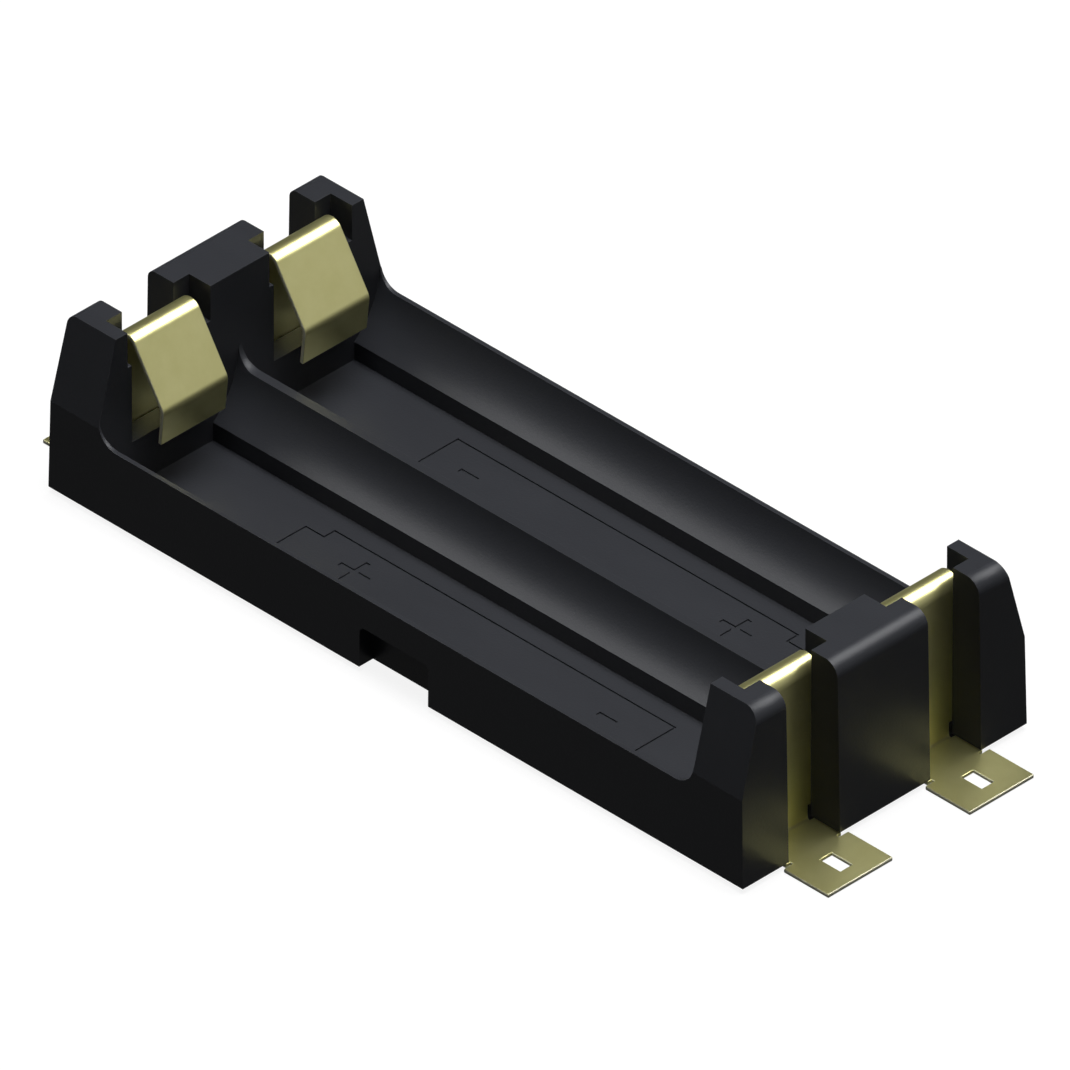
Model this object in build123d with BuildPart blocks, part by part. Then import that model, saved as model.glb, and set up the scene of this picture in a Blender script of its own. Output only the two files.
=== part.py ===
# Two-bay battery holder for small cylindrical cells, soldered flat onto a circuit board.
# Origin: on the board, under the middle of the holder. X runs along the cells, Z is up.
# Each bay has a folded spring contact at both of its ends, and all four contacts are alike.

from build123d import *
import math
import os

os.makedirs("parts", exist_ok=True)

# The cell that each bay holds, and how it sits there
cell_diameter = 10.5
cell_length = 44.5
trough_play = 0.2
contact_squeeze = 0.9

# Tray walls, the two thin ones measured level with the cell axis
side_skin = 0.2
web_skin = 0.3
floor_thickness = 0.65
rim_drop = 1.25
channel_width = 6.86
board_gap = 0.35

# End towers, and the draft of the outer walls
end_wall = 2.3
arm_length = 1.7
tower_height = 11.3
taper_start = 5.9
taper_angle = 14.4
side_draft_angle = 0.7
end_draft_angle = 1.3
left_round = 0.6
right_round = 1.0
rim_round = 1.4

# Pocket and slot that hold each contact
mouth_width = 6.54
guide_top = 8.92
seat_height = 3.68
shoulder_height = 0.82
slot_width = 4.05
fit_gap = 0.07
slit_play = 0.05

# Contact strip
strip = 0.25
leaf_width = 5.1
plate_width = 5.75
neck_width = 3.65
board_bend = 0.15
fold_radius = 0.86
nose_radius = 0.8
leaf_angle = 31.9
leaf_reach = 3.85
nose_height = 6.5
tail_angle = 6.2
tail_drop = 2.3
ear_margin = 0.3

# Solder tab, its root under the end wall, the notches between them, and its window
root_width = 4.4
notch_inset = 0.07
tab_margin = 0.12
tab_length = 3.49
window_inset = 0.78
window_length = 1.6
window_width = 0.95

# Recess in the middle of each long side
recess_width = 5.45
recess_height = 2.75
recess_depth = 1.1
recess_round = 0.4

# Sunk marks on the bay floors
mark_depth = 0.1
line_width = 0.12
outline_length = 28.5
outline_width = 4.2
outline_shift = 0.35
button_length = 1.45
button_width = 2.5
plus_size = 2.3
minus_size = 1.4
bar_width = 0.35
front_plus_x = -8.8
front_minus_x = 11.2
rear_plus_x = 10.2
rear_minus_x = -10.95

# Sizes that follow from the ones above
trough_radius = cell_diameter / 2 + trough_play
bay_pitch = 2 * trough_radius + web_skin
body_width = bay_pitch + 2 * trough_radius + 2 * side_skin
nose_reach = end_wall + leaf_reach
body_length = cell_length - 2 * contact_squeeze + 2 * nose_reach
block_depth = end_wall + arm_length
half_length = body_length / 2
half_width = body_width / 2
bay_length = body_length - 2 * block_depth
underside = board_gap
floor_level = underside + floor_thickness
axis_level = floor_level + trough_radius
rim_level = axis_level - rim_drop
top_level = underside + tower_height
seat_level = underside + seat_height
guide_level = underside + guide_top
shoulder_level = underside + shoulder_height
taper_level = underside + taper_start
side_draft = math.tan(math.radians(side_draft_angle))
end_draft = math.tan(math.radians(end_draft_angle))
guide_width = plate_width + 2 * fit_gap
passage_width = neck_width + 2 * fit_gap
slit_depth = strip + slit_play
plate_face = half_length - end_wall
bays = {"front": -bay_pitch / 2, "rear": bay_pitch / 2}
ends = {"left": -1, "right": 1}


# Housing: one black moulding
with BuildPart() as housing:
    # Side outline with both towers and the rounded steps down to the rim
    with BuildSketch(Plane.XZ.offset(-half_width)):
        with BuildLine():
            step = half_length - block_depth
            rise = rim_level + rim_round
            Line((-half_length, underside), (half_length, underside))
            for side, top_round in ((-1, left_round), (1, right_round)):
                shoulder = top_level - top_round
                end_x = half_length - (shoulder - underside) * end_draft
                Line((side * half_length, underside), (side * end_x, shoulder))
                RadiusArc((side * end_x, shoulder), (side * (end_x - top_round), top_level), -side * top_round)
                Line((side * (end_x - top_round), top_level), (side * step, top_level))
                Line((side * step, top_level), (side * step, rise))
                RadiusArc((side * step, rise), (side * (step - rim_round), rim_level), side * rim_round)
            Line((step - rim_round, rim_level), (rim_round - step, rim_level))
        make_face()
    extrude(amount=body_width)

    # Long sides have a little draft, and above the taper line they lean inwards
    taper_y = half_width - taper_start * side_draft
    lean = (top_level - taper_level) * math.tan(math.radians(taper_angle))
    for side in (1, -1):
        with BuildSketch(Plane.YZ.offset(-half_length)):
            with BuildLine():
                Polyline(
                    (side * half_width, underside),
                    (side * half_width, top_level),
                    (side * (taper_y - lean), top_level),
                    (side * taper_y, taper_level),
                    close=True,
                )
            make_face()
        extrude(amount=body_length, mode=Mode.SUBTRACT)

    # Round troughs for the cells, each with a flat-bottomed channel along its floor
    for bay_y in bays.values():
        with BuildSketch(Plane.YZ.offset(-bay_length / 2)):
            with Locations((bay_y, axis_level)):
                Circle(trough_radius)
                Rectangle(2 * trough_radius, tower_height, align=(Align.CENTER, Align.MIN))
            with Locations((bay_y, floor_level)):
                Rectangle(channel_width, trough_radius, align=(Align.CENTER, Align.MIN))
        extrude(amount=bay_length, mode=Mode.SUBTRACT)

    # Contact pockets, guides, slits, passages for the necks, and the slots through the end walls
    for bay_y in bays.values():
        for side in ends.values():
            inner = side * (plate_face - arm_length)
            near_plate = side * plate_face
            with BuildSketch(Plane.XY.offset(guide_level)):
                with Locations(((inner + near_plate) / 2, bay_y)):
                    Rectangle(arm_length, mouth_width)
            extrude(amount=tower_height, mode=Mode.SUBTRACT)
            with BuildSketch(Plane.XY.offset(seat_level)):
                with Locations(((inner + near_plate) / 2, bay_y)):
                    Rectangle(arm_length, guide_width)
            extrude(amount=tower_height, mode=Mode.SUBTRACT)
            with BuildSketch(Plane.XY.offset(shoulder_level)):
                with Locations((side * (plate_face - slit_depth / 2), bay_y)):
                    Rectangle(slit_depth, guide_width)
            extrude(amount=tower_height, mode=Mode.SUBTRACT)
            with BuildSketch(Plane.XY):
                with Locations((side * (plate_face - slit_depth / 2), bay_y)):
                    Rectangle(slit_depth, passage_width)
            extrude(amount=shoulder_level, mode=Mode.SUBTRACT)
            with BuildSketch(Plane.XY):
                with Locations((side * (half_length - end_wall / 2), bay_y)):
                    Rectangle(end_wall, slot_width)
            extrude(amount=top_level + strip, mode=Mode.SUBTRACT)

    # Shallow recess in the middle of each long side
    for side in (1, -1):
        with BuildSketch(Plane.XZ.offset(-side * half_width)):
            with Locations((0, underside)):
                Rectangle(recess_width, 2 * recess_height)
            fillet(vertices(), radius=recess_round)
        extrude(amount=side * recess_depth, mode=Mode.SUBTRACT)

    # Sunk outline of a cell with its polarity marks on each bay floor
    for bay_y, button_side, plus_x, minus_x in (
        (bays["front"], -1, front_plus_x, front_minus_x),
        (bays["rear"], 1, rear_plus_x, rear_minus_x),
    ):
        can_length = outline_length - button_length
        can_x = outline_shift - button_side * button_length / 2
        button_x = outline_shift + button_side * can_length / 2
        with BuildSketch(Plane.XY.offset(floor_level)):
            with Locations((can_x, bay_y)):
                Rectangle(can_length, outline_width)
            with Locations((button_x, bay_y)):
                Rectangle(button_length, button_width)
            with Locations((can_x, bay_y)):
                Rectangle(can_length - 2 * line_width, outline_width - 2 * line_width, mode=Mode.SUBTRACT)
            with Locations((button_x - button_side * line_width, bay_y)):
                Rectangle(button_length, button_width - 2 * line_width, mode=Mode.SUBTRACT)
            with Locations((plus_x, bay_y)):
                Rectangle(plus_size, bar_width)
                Rectangle(bar_width, plus_size)
            with Locations((minus_x, bay_y)):
                Rectangle(minus_size, bar_width)
        extrude(amount=-mark_depth, mode=Mode.SUBTRACT)

housing.part.label = "housing"
export_step(housing.part, "parts/housing.step")


# Contacts: each one strip of spring brass, cut to its outline and folded
leaf_slope = math.radians(leaf_angle)
tail_slope = math.radians(tail_angle)
nose_x = plate_face - leaf_reach
nose_z = underside + nose_height
fold_top = nose_z + leaf_reach / math.tan(leaf_slope)
tail_x = nose_x + tail_drop * math.tan(tail_slope)
root_start = plate_face + board_bend
notch_start = half_length - notch_inset
tab_start = half_length + tab_margin
tab_end = tab_start + tab_length

for bay_name, bay_y in bays.items():
    for end_name, side in ends.items():
        with BuildPart() as contact:
            # Folded strip seen from the side: tab, plate, fold, leaf and turned-back tail
            with BuildSketch(Plane.XZ.offset(-bay_y - leaf_width / 2)):
                with BuildLine():
                    FilletPolyline(
                        (side * tab_end, strip),
                        (side * plate_face, strip),
                        (side * plate_face, fold_top),
                        (side * nose_x, nose_z),
                        (side * tail_x, nose_z - tail_drop),
                        radius=[board_bend, fold_radius, nose_radius],
                    )
                    offset(amount=strip, side=Side.LEFT if side > 0 else Side.RIGHT)
                make_face()
            extrude(amount=leaf_width)

            # Wider ears of the plate, which the guides of the pocket hold
            ear_top = guide_level - ear_margin
            with BuildSketch(Plane.XY.offset(shoulder_level)):
                with Locations((side * (plate_face - strip / 2), bay_y)):
                    Rectangle(strip, plate_width)
            extrude(amount=ear_top - shoulder_level)

            # Upright neck below the ears, the wider root under the end wall, and the notches
            # at the tab, each cut in from both edges of the strip
            for start, end, kept_width in (
                (plate_face - strip, root_start, neck_width),
                (root_start, notch_start, root_width),
                (notch_start, tab_start, neck_width),
            ):
                cut = (leaf_width - kept_width) / 2
                for edge in (1, -1):
                    with BuildSketch(Plane.XY):
                        with Locations((side * (start + end) / 2, bay_y + edge * (kept_width + cut) / 2)):
                            Rectangle(end - start, cut)
                    extrude(amount=shoulder_level, mode=Mode.SUBTRACT)

            # Window in the solder tab
            with BuildSketch(Plane.XY):
                with Locations((side * (tab_start + window_inset + window_length / 2), bay_y)):
                    Rectangle(window_length, window_width)
            extrude(amount=strip, mode=Mode.SUBTRACT)

        node = f"contact_{bay_name}_{end_name}"
        contact.part.label = node
        export_step(contact.part, f"parts/{node}.step")
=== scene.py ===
import math

import bmesh
import bpy
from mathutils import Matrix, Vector


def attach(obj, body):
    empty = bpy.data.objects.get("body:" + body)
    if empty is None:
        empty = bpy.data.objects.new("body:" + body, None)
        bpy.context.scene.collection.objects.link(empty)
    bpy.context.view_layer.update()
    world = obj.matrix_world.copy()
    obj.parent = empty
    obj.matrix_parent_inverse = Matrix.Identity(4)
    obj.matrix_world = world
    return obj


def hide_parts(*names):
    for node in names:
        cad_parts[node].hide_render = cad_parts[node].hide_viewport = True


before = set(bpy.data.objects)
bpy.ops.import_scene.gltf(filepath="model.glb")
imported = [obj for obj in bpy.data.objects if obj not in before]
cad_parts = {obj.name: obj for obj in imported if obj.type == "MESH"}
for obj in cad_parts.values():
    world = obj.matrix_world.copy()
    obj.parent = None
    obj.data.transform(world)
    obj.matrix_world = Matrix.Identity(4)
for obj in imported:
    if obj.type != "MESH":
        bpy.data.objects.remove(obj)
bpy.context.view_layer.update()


# Camera: at the photograph's viewing angle, an even isometric look down one corner.
# The photograph has no perspective, so a very long lens stands far back.
MM = 0.001
VIEW_AZIMUTH = math.radians(45.0)
VIEW_ELEVATION = math.radians(35.2)
VIEW_DISTANCE = 2669.3 * MM
AIM_POINT = Vector((-5.16, 5.09, 0.0)) * MM
# Blender takes these two in millimetres
FOCAL_LENGTH = 1600.0
SENSOR_WIDTH = 36.0

towards_camera = Vector((
    math.sin(VIEW_AZIMUTH) * math.cos(VIEW_ELEVATION),
    -math.cos(VIEW_AZIMUTH) * math.cos(VIEW_ELEVATION),
    math.sin(VIEW_ELEVATION),
))
camera = bpy.data.objects.new("camera", bpy.data.cameras.new("camera"))
camera.data.lens = FOCAL_LENGTH
camera.data.sensor_width = SENSOR_WIDTH
camera.data.clip_end = 2 * VIEW_DISTANCE
camera.location = AIM_POINT + towards_camera * VIEW_DISTANCE
camera.rotation_euler = (-towards_camera).to_track_quat("-Z", "Y").to_euler()
scene = bpy.context.scene
scene.collection.objects.link(camera)
scene.camera = camera
scene.view_settings.view_transform = "Standard"


# Studio: one soft ceiling light without glare, and two panels that only show in reflections.
# The world looks white and hardly lights the holder.
# Its reflection glows low on the right and is dim elsewhere.
LAMP_DISTANCE = 400 * MM
BACKDROP_COLOUR = (1, 1, 1, 1)
BACKDROP_SEEN = 1.0
ROOM_LIGHT = 0.003
SKY_REFLECTED = 0.01
GLOW_REFLECTED = 0.28
GLOW_DIRECTION = (0.79, 0.58, 0.20)
# Cosines of the angles from that direction at which the glow ends and at which it is full
GLOW_ENDS = 0.35
GLOW_FULL = 0.85
# The places of a Mix node's first value, second value and result, for each kind of value
MIX_SOCKETS = {"FLOAT": (2, 3, 0), "RGBA": (6, 7, 2)}


def soft_lamp(name, direction, width, power, dull, shiny):
    """A square area lamp that faces the holder, for its dull light, its reflections or both."""
    lamp = bpy.data.lights.new(name, "AREA")
    lamp.size = width
    lamp.energy = power
    stand = bpy.data.objects.new(name, lamp)
    away = Vector(direction).normalized()
    stand.location = away * LAMP_DISTANCE
    stand.rotation_euler = away.to_track_quat("Z", "Y").to_euler()
    stand.visible_camera = False
    stand.visible_diffuse = dull
    stand.visible_glossy = shiny
    scene.collection.objects.link(stand)


def feed(tree, socket, value):
    """Links a socket to another one, or sets it to a plain value."""
    if isinstance(value, bpy.types.NodeSocket):
        tree.links.new(value, socket)
    else:
        socket.default_value = value


def calculate(tree, operation, *values, clamp=False):
    """What a Math node makes of numbers or sockets."""
    step = tree.nodes.new("ShaderNodeMath")
    step.operation = operation
    step.use_clamp = clamp
    for socket, value in zip(step.inputs, values):
        feed(tree, socket, value)
    return step.outputs[0]


def agreement(tree, first, second):
    """The dot product of two directions, which is 1 where they agree."""
    product = tree.nodes.new("ShaderNodeVectorMath")
    product.operation = "DOT_PRODUCT"
    feed(tree, product.inputs[0], first)
    feed(tree, product.inputs[1], second)
    return product.outputs["Value"]


def remap(tree, value, low, high, start=0.0, end=1.0, interpolation="LINEAR"):
    """A value spread over another range: low where it is start, and high where it is end."""
    spread = tree.nodes.new("ShaderNodeMapRange")
    spread.interpolation_type = interpolation
    spread.inputs["From Min"].default_value = start
    spread.inputs["From Max"].default_value = end
    spread.inputs["To Min"].default_value = low
    spread.inputs["To Max"].default_value = high
    tree.links.new(value, spread.inputs["Value"])
    return spread.outputs["Result"]


def mix(tree, factor, first, second, kind="FLOAT"):
    """One number or colour where the factor is 0 and another where it is 1."""
    blend = tree.nodes.new("ShaderNodeMix")
    blend.data_type = kind
    one, other, mixed = MIX_SOCKETS[kind]
    feed(tree, blend.inputs["Factor"], factor)
    feed(tree, blend.inputs[one], first)
    feed(tree, blend.inputs[other], second)
    return blend.outputs[mixed]


soft_lamp(
    "ceiling_light", direction=(0.05, 0.05, 1.0), width=240 * MM, power=1.75, dull=True, shiny=False,
)
soft_lamp(
    "left_panel", direction=(-0.577, -0.40, 0.71), width=240 * MM, power=0.72, dull=False, shiny=True,
)
soft_lamp(
    "right_panel", direction=(0.22, 0.577, 0.79), width=250 * MM, power=1.25, dull=False, shiny=True,
)

studio = bpy.data.worlds.new("studio")
scene.world = studio
studio.use_nodes = True
tree = studio.node_tree
background = tree.nodes["Background"]
background.inputs["Color"].default_value = BACKDROP_COLOUR
ray = tree.nodes.new("ShaderNodeLightPath")
direction = tree.nodes.new("ShaderNodeTexCoord")
nearness = agreement(tree, direction.outputs["Generated"], GLOW_DIRECTION)
glow = remap(
    tree, nearness, SKY_REFLECTED, GLOW_REFLECTED,
    start=GLOW_ENDS, end=GLOW_FULL, interpolation="SMOOTHSTEP",
)
reflected = calculate(tree, "MAXIMUM", ray.outputs["Is Glossy Ray"], ray.outputs["Is Transmission Ray"])
unseen = mix(tree, reflected, ROOM_LIGHT, glow)
strength = mix(tree, ray.outputs["Is Camera Ray"], unseen, BACKDROP_SEEN)
feed(tree, background.inputs["Strength"], strength)


# Floor: the pale table that the solder tabs lie on.
# It looks white to the camera and keeps the soft shadow, and under the tray it is dark: a painted
# shade, where its whitening is left out.
# In reflections it shows dimly.
FLOOR_SIZE = 3000 * MM
FLOOR_DROP = 0.02 * MM
FLOOR_COLOUR = (0.18, 0.18, 0.18, 1)
FLOOR_WHITENING = 0.88
FLOOR_REFLECTED = 0.12
FLOOR_LIGHT = 0.03
PAINTED_SHADE_LENGTH = 53.8 * MM
PAINTED_SHADE_WIDTH = 19.0 * MM


def position(tree):
    """A point's X, Y and Z in the shared frame, in metres."""
    place = tree.nodes.new("ShaderNodeTexCoord")
    parts = tree.nodes.new("ShaderNodeSeparateXYZ")
    tree.links.new(place.outputs["Object"], parts.inputs["Vector"])
    return parts.outputs


shape = bmesh.new()
bmesh.ops.create_grid(shape, x_segments=1, y_segments=1, size=FLOOR_SIZE / 2)
bmesh.ops.translate(shape, verts=shape.verts, vec=(0, 0, -FLOOR_DROP))
floor_mesh = bpy.data.meshes.new("floor")
shape.to_mesh(floor_mesh)
shape.free()
floor = bpy.data.objects.new("floor", floor_mesh)
scene.collection.objects.link(floor)

pale = bpy.data.materials.new("pale_table")
pale.use_nodes = True
tree = pale.node_tree
tree.nodes.clear()
spot = position(tree)
# The painted shade reaches half its length and half its width from the middle of the tray
under_length = calculate(tree, "COMPARE", spot["X"], 0, PAINTED_SHADE_LENGTH / 2)
under_width = calculate(tree, "COMPARE", spot["Y"], 0, PAINTED_SHADE_WIDTH / 2)
painted_shade_under_tray = calculate(tree, "MULTIPLY", under_length, under_width)
paint = tree.nodes.new("ShaderNodeBsdfDiffuse")
paint.inputs["Color"].default_value = FLOOR_COLOUR
white = tree.nodes.new("ShaderNodeEmission")
# The whitening is left out under the tray, which paints shade there
feed(tree, white.inputs["Strength"], remap(tree, painted_shade_under_tray, FLOOR_WHITENING, 0))
to_camera = tree.nodes.new("ShaderNodeAddShader")
feed(tree, to_camera.inputs[0], paint.outputs[0])
feed(tree, to_camera.inputs[1], white.outputs[0])
ray = tree.nodes.new("ShaderNodeLightPath")
to_holder = tree.nodes.new("ShaderNodeEmission")
dimness = remap(tree, ray.outputs["Is Glossy Ray"], FLOOR_LIGHT, FLOOR_REFLECTED)
feed(tree, to_holder.inputs["Strength"], dimness)
choice = tree.nodes.new("ShaderNodeMixShader")
feed(tree, choice.inputs["Fac"], ray.outputs["Is Camera Ray"])
feed(tree, choice.inputs[1], to_holder.outputs[0])
feed(tree, choice.inputs[2], to_camera.outputs[0])
output = tree.nodes.new("ShaderNodeOutputMaterial")
feed(tree, output.inputs["Surface"], choice.outputs[0])
floor_mesh.materials.append(pale)


# Housing: the tray, one injection moulding in black glass-filled nylon.
# The mould leaves a fine spark-eroded grain and edges eased by a few hundredths of a millimetre,
# and those edges are painted a little lighter, both as handling wear and as a painted highlight.
TRAY_EDGE = 0.05 * MM
# The height of the bay floors above the board, and how deep the marks are sunk in them
MARKED_FLOOR = 1.0 * MM
MARK_DEPTH = 0.1 * MM
MERGE_DISTANCE = 0.001 * MM
# Angles between two faces: the most that still counts as flat, and the least for a corner that
# is eased and for a hard line in the shading
FLAT_ANGLE = math.radians(0.3)
CORNER_ANGLE = math.radians(12)
SHARP_ANGLE = math.radians(50)


def joined_copy(node):
    """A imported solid's mesh with its loose triangles joined and its flat faces whole."""
    copy = bmesh.new()
    copy.from_mesh(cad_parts[node].data)
    bmesh.ops.remove_doubles(copy, verts=copy.verts, dist=MERGE_DISTANCE)
    bmesh.ops.dissolve_limit(copy, angle_limit=FLAT_ANGLE, verts=copy.verts, edges=copy.edges)
    return copy


def ease_edges(copy, width, stays=lambda edge: False):
    """Rounds the outward corners of a joined solid, apart from edges that stay as they are."""
    corners = [
        edge for edge in copy.edges
        if edge.is_manifold
        and edge.calc_face_angle_signed() > CORNER_ANGLE
        and not stays(edge)
    ]
    bmesh.ops.bevel(
        copy, geom=corners, offset=width, offset_type="OFFSET", affect="EDGES",
        segments=2, profile=0.5, material=-1, clamp_overlap=True,
    )


def finished_piece(copy, name, node, material):
    """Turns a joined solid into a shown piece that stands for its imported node."""
    for face in copy.faces:
        face.smooth = True
    for edge in copy.edges:
        edge.smooth = edge.calc_face_angle(0) < SHARP_ANGLE
    mesh = bpy.data.meshes.new(name)
    copy.to_mesh(mesh)
    copy.free()
    mesh.materials.append(material)
    piece = bpy.data.objects.new(name, mesh)
    scene.collection.objects.link(piece)
    normals = piece.modifiers.new("flat_faces_stay_flat", "WEIGHTED_NORMAL")
    normals.keep_sharp = True
    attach(piece, "root")
    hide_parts(node)


def add_group(name, inputs, outputs):
    """An empty shader node group with named sockets: the group, its input node and its output node."""
    group = bpy.data.node_groups.new(name, "ShaderNodeTree")
    for label, kind, value in inputs:
        socket = group.interface.new_socket(label, in_out="INPUT", socket_type=kind)
        socket.default_value = value
    for label, kind in outputs:
        group.interface.new_socket(label, in_out="OUTPUT", socket_type=kind)
    return group, group.nodes.new("NodeGroupInput"), group.nodes.new("NodeGroupOutput")


def use_group(tree, group, **values):
    """Places a group in a material with its own values."""
    node = tree.nodes.new("ShaderNodeGroup")
    node.node_tree = group
    for label, value in values.items():
        node.inputs[label].default_value = value
    return node


def relief(tree, height, depth, under=None):
    """A bump of a given depth, on top of another where one is given."""
    bump = tree.nodes.new("ShaderNodeBump")
    bump.inputs["Distance"].default_value = depth
    tree.links.new(height, bump.inputs["Height"])
    if under:
        tree.links.new(under, bump.inputs["Normal"])
    return bump.outputs["Normal"]


# Unevenness of a given size in millimetres, stretched along the object's axes.
# It runs from 0 to 1 between these two values of the noise.
NOISE_LOW = 0.25
NOISE_HIGH = 0.75

unevenness, given, result = add_group(
    "unevenness",
    [
        ("Size", "NodeSocketFloat", 1.0),
        ("Stretch", "NodeSocketVector", (1.0, 1.0, 1.0)),
        ("Detail", "NodeSocketFloat", 2.0),
    ],
    [("Value", "NodeSocketFloat")],
)
place = unevenness.nodes.new("ShaderNodeTexCoord")
stretched = unevenness.nodes.new("ShaderNodeVectorMath")
stretched.operation = "DIVIDE"
feed(unevenness, stretched.inputs[0], place.outputs["Object"])
feed(unevenness, stretched.inputs[1], given.outputs["Stretch"])
sized = unevenness.nodes.new("ShaderNodeVectorMath")
sized.operation = "SCALE"
feed(unevenness, sized.inputs[0], stretched.outputs[0])
feed(unevenness, sized.inputs["Scale"], calculate(unevenness, "DIVIDE", 1 / MM, given.outputs["Size"]))
noise = unevenness.nodes.new("ShaderNodeTexNoise")
noise.inputs["Scale"].default_value = 1.0
noise.inputs["Roughness"].default_value = 0.6
feed(unevenness, noise.inputs["Vector"], sized.outputs[0])
feed(unevenness, noise.inputs["Detail"], given.outputs["Detail"])
full_range = remap(unevenness, noise.outputs["Fac"], 0.0, 1.0, start=NOISE_LOW, end=NOISE_HIGH)
feed(unevenness, result.inputs["Value"], full_range)

# Rub along the edges, broken up by its own unevenness: a mask for handling wear and for a painted edge
# highlight.
# A rounded normal agrees fully with the real one on a flat face, and less beside an edge.
FLAT_AGREES = 1.0
EDGE_AGREES = 0.75

edge_wear_and_highlight, given, result = add_group(
    "edge_wear_and_highlight",
    [("Width", "NodeSocketFloat", 0.1 * MM), ("Strength", "NodeSocketFloat", 1.0)],
    [("Mask", "NodeSocketFloat")],
)
rounded = edge_wear_and_highlight.nodes.new("ShaderNodeBevel")
rounded.samples = 4
feed(edge_wear_and_highlight, rounded.inputs["Radius"], given.outputs["Width"])
surface = edge_wear_and_highlight.nodes.new("ShaderNodeNewGeometry")
alike = agreement(edge_wear_and_highlight, rounded.outputs["Normal"], surface.outputs["Normal"])
near_edge = remap(edge_wear_and_highlight, alike, 0.0, 1.0, start=FLAT_AGREES, end=EDGE_AGREES)
broken = use_group(edge_wear_and_highlight, unevenness, Size=0.6, Detail=4.0)
patchy = calculate(edge_wear_and_highlight, "MULTIPLY", near_edge, broken.outputs["Value"])
strong = calculate(edge_wear_and_highlight, "MULTIPLY", patchy, given.outputs["Strength"], clamp=True)
feed(edge_wear_and_highlight, result.inputs["Mask"], strong)

NYLON_DARK = (0.032, 0.0335, 0.039, 1)
NYLON_LIGHT = (0.039, 0.041, 0.0475, 1)
# The lighter edges: handling wear and a painted highlight
NYLON_WORN_AND_HIGHLIT = (0.072, 0.073, 0.078, 1)
NYLON_SPECULAR = 0.26
NYLON_ROUGHNESS = (0.32, 0.4)
GRAIN_DEPTH = 0.003 * MM
PIT_DEPTH = 0.0012 * MM

nylon = bpy.data.materials.new("black_moulded_nylon")
nylon.use_nodes = True
tree = nylon.node_tree
skin = tree.nodes["Principled BSDF"]
skin.inputs["Specular IOR Level"].default_value = NYLON_SPECULAR
flow = use_group(tree, unevenness, Size=5.0, Stretch=(3.0, 1.0, 1.0), Detail=3.0)
grain = use_group(tree, unevenness, Size=0.16, Detail=3.0)
pits = use_group(tree, unevenness, Size=0.07, Detail=1.0)
rub_and_highlight = use_group(tree, edge_wear_and_highlight, Width=0.1 * MM, Strength=0.7)
mottled = mix(tree, flow.outputs["Value"], NYLON_DARK, NYLON_LIGHT, kind="RGBA")
# The worn and painted-highlight edges stop above the bay floors, so the marks in them keep crisp dark
# walls
within_reach = calculate(tree, "GREATER_THAN", position(tree)["Z"], MARKED_FLOOR + MARK_DEPTH)
worn_and_highlit = calculate(tree, "MULTIPLY", within_reach, rub_and_highlight.outputs["Mask"])
feed(tree, skin.inputs["Base Color"], mix(tree, worn_and_highlit, mottled, NYLON_WORN_AND_HIGHLIT, kind="RGBA"))
feed(tree, skin.inputs["Roughness"], remap(tree, grain.outputs["Value"], *NYLON_ROUGHNESS))
coarse = relief(tree, grain.outputs["Value"], GRAIN_DEPTH)
feed(tree, skin.inputs["Normal"], relief(tree, pits.outputs["Value"], PIT_DEPTH, under=coarse))


def is_mark(edge):
    """True for the outlines and signs sunk into the bay floors."""
    lowest = MARKED_FLOOR - 1.5 * MARK_DEPTH
    highest = MARKED_FLOOR + MARK_DEPTH
    return all(lowest < corner.co.z < highest for corner in edge.verts)


tray = joined_copy("housing")
ease_edges(tray, TRAY_EDGE, stays=is_mark)
finished_piece(tray, "moulded_tray", "housing", nylon)


# Contacts: four like strips of spring brass, blanked, folded and gold plated.
# Each is pushed down into its pocket, where the guides hold the ears of its plate, and its tab
# lies on the board. Rolling leaves fine lines along the strip, and blanking rough edges, which carry a
# painted highlight.
STRIP_EDGE = 0.05 * MM
GOLD_DEEP = (0.86, 0.82, 0.36, 1)
GOLD_PALE = (0.93, 0.89, 0.43, 1)
# Edges and blanked faces: rubbed gold and a painted highlight
GOLD_RUB_AND_HIGHLIGHT = (0.97, 0.95, 0.68, 1)
GOLD_ROUGHNESS = (0.31, 0.37)
ROLLED_METALLIC = 0.9
BLANKED_METALLIC = 0.15
ROLLED_DEPTH = 0.0002 * MM
# A face whose normal points this much along the fold is a blanked side
BLANKED_SIDE = 0.7

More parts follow.
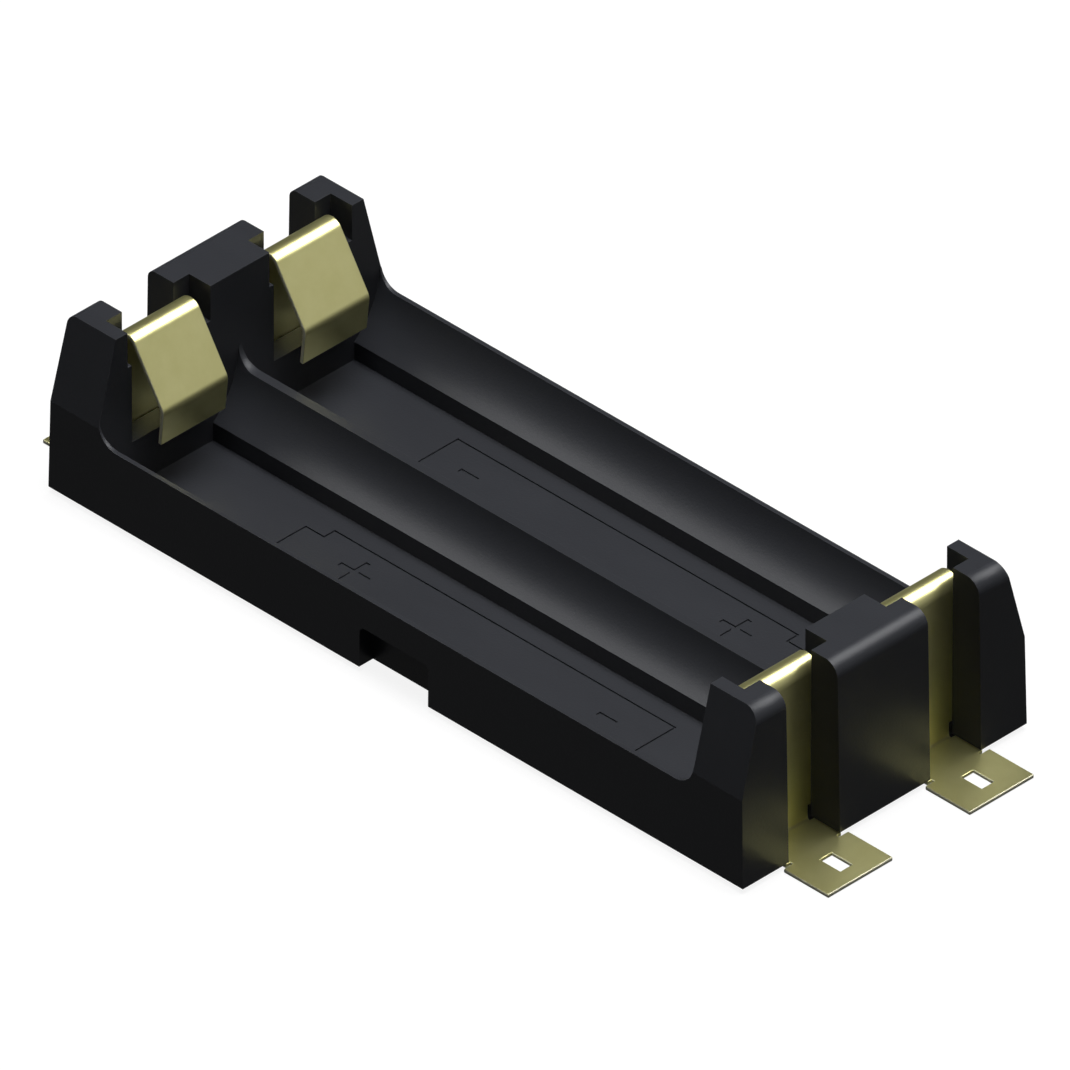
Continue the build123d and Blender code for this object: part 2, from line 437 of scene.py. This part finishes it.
gold = bpy.data.materials.new("gold_plated_brass")
gold.use_nodes = True
tree = gold.node_tree
skin = tree.nodes["Principled BSDF"]
rolled = use_group(tree, unevenness, Size=0.03, Stretch=(80.0, 1.0, 80.0), Detail=2.0)
cloud = use_group(tree, unevenness, Size=1.6, Detail=3.0)
rub_and_highlight = use_group(tree, edge_wear_and_highlight, Width=0.06 * MM, Strength=0.8)
sheared_and_highlit = tree.nodes.new("ShaderNodeAttribute")
sheared_and_highlit.attribute_name = "sheared_and_highlit"
plated = mix(tree, cloud.outputs["Value"], GOLD_DEEP, GOLD_PALE, kind="RGBA")
# Edges are lighter from rubbing and from a painted highlight
rubbed_and_highlit = mix(tree, rub_and_highlight.outputs["Mask"], plated, GOLD_RUB_AND_HIGHLIGHT, kind="RGBA")
# The blanked faces are painted pale as a painted highlight
colour = mix(tree, sheared_and_highlit.outputs["Fac"], rubbed_and_highlit, GOLD_RUB_AND_HIGHLIGHT, kind="RGBA")
feed(tree, skin.inputs["Base Color"], colour)
# The torn grain of a blanked edge scatters light more than the rolled face does
metallic = remap(tree, sheared_and_highlit.outputs["Fac"], ROLLED_METALLIC, BLANKED_METALLIC)
feed(tree, skin.inputs["Metallic"], metallic)
feed(tree, skin.inputs["Roughness"], remap(tree, rolled.outputs["Value"], *GOLD_ROUGHNESS))
feed(tree, skin.inputs["Normal"], relief(tree, rolled.outputs["Value"], ROLLED_DEPTH))

for bay in ("front", "rear"):
    for end in ("left", "right"):
        node = f"contact_{bay}_{end}"
        strip = joined_copy(node)
        ease_edges(strip, STRIP_EDGE)
        strip.normal_update()
        # The blanked sides face along the fold, and the blanked end of the tab faces outwards
        # These faces get a painted highlight in the gold's colour
        blanked = strip.faces.layers.float.new("sheared_and_highlit")
        tab_end = max(abs(corner.co.x) for corner in strip.verts)
        for face in strip.faces:
            outermost = min(abs(corner.co.x) for corner in face.verts) > tab_end - 2 * STRIP_EDGE
            face[blanked] = 1.0 if outermost or abs(face.normal.y) > BLANKED_SIDE else 0.0
        finished_piece(strip, f"plated_{node}", node, gold)
